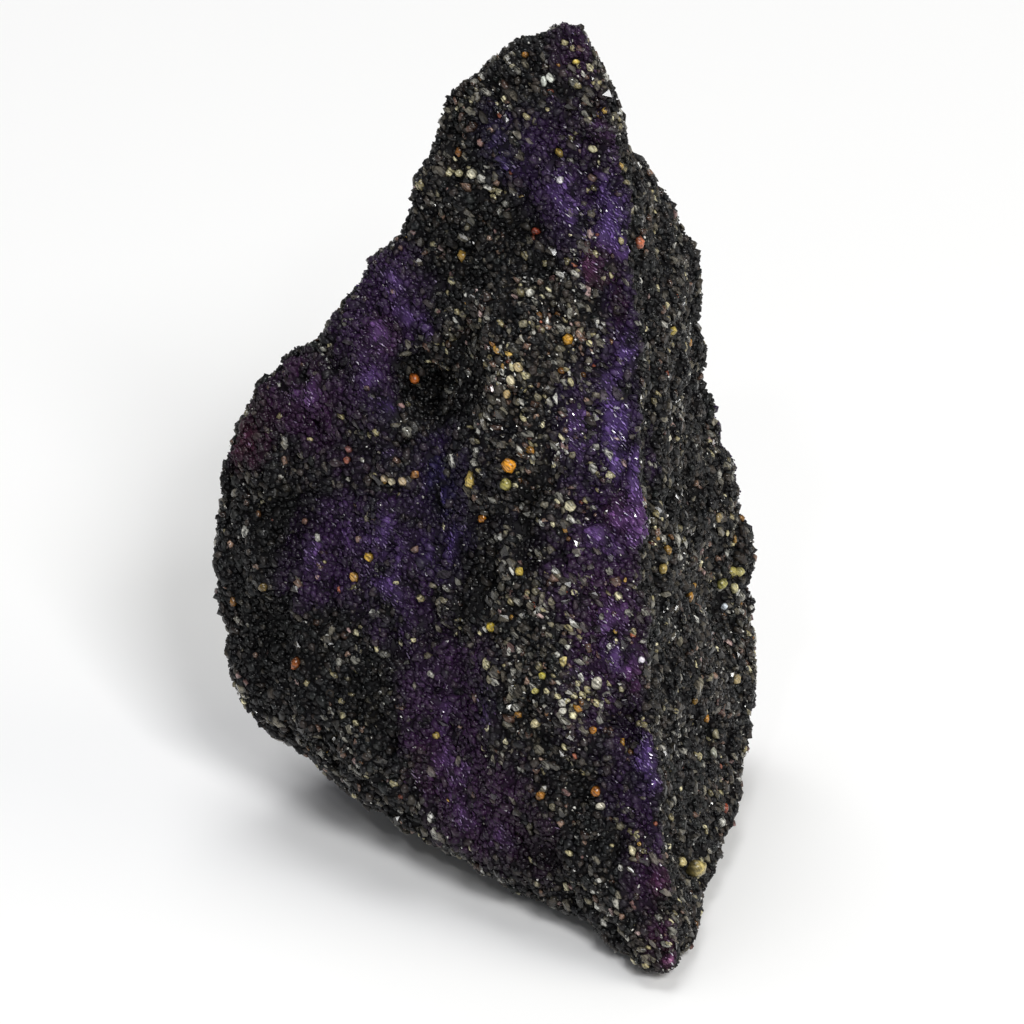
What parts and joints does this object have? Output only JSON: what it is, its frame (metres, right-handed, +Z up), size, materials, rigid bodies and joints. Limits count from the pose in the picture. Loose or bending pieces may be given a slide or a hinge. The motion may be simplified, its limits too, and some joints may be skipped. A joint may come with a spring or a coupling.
{
  "type": "rough sapphire",
  "caption": "Rough violet sapphire, a leaning wedge with a sharp front ridge and a crust of sand-size grains, resting on a small flat spot.",
  "frame": {"origin": "middle of the stone's box in plan, on the surface that it rests on", "axes": "+Z up and along the stone's longest extent, +Y from the front ridge towards the back, +X to the right of someone who looks at the ridge"},
  "size_m": [0.0286, 0.0288, 0.0419],
  "materials": {
    "crusted_sapphire": "violet crystal under a granular crust of dark, smoky, cream and orange sand-size grains"
  },
  "bodies": {
    "root": {"rough_sapphire": "crusted_sapphire"}
  },
  "joints": []
}
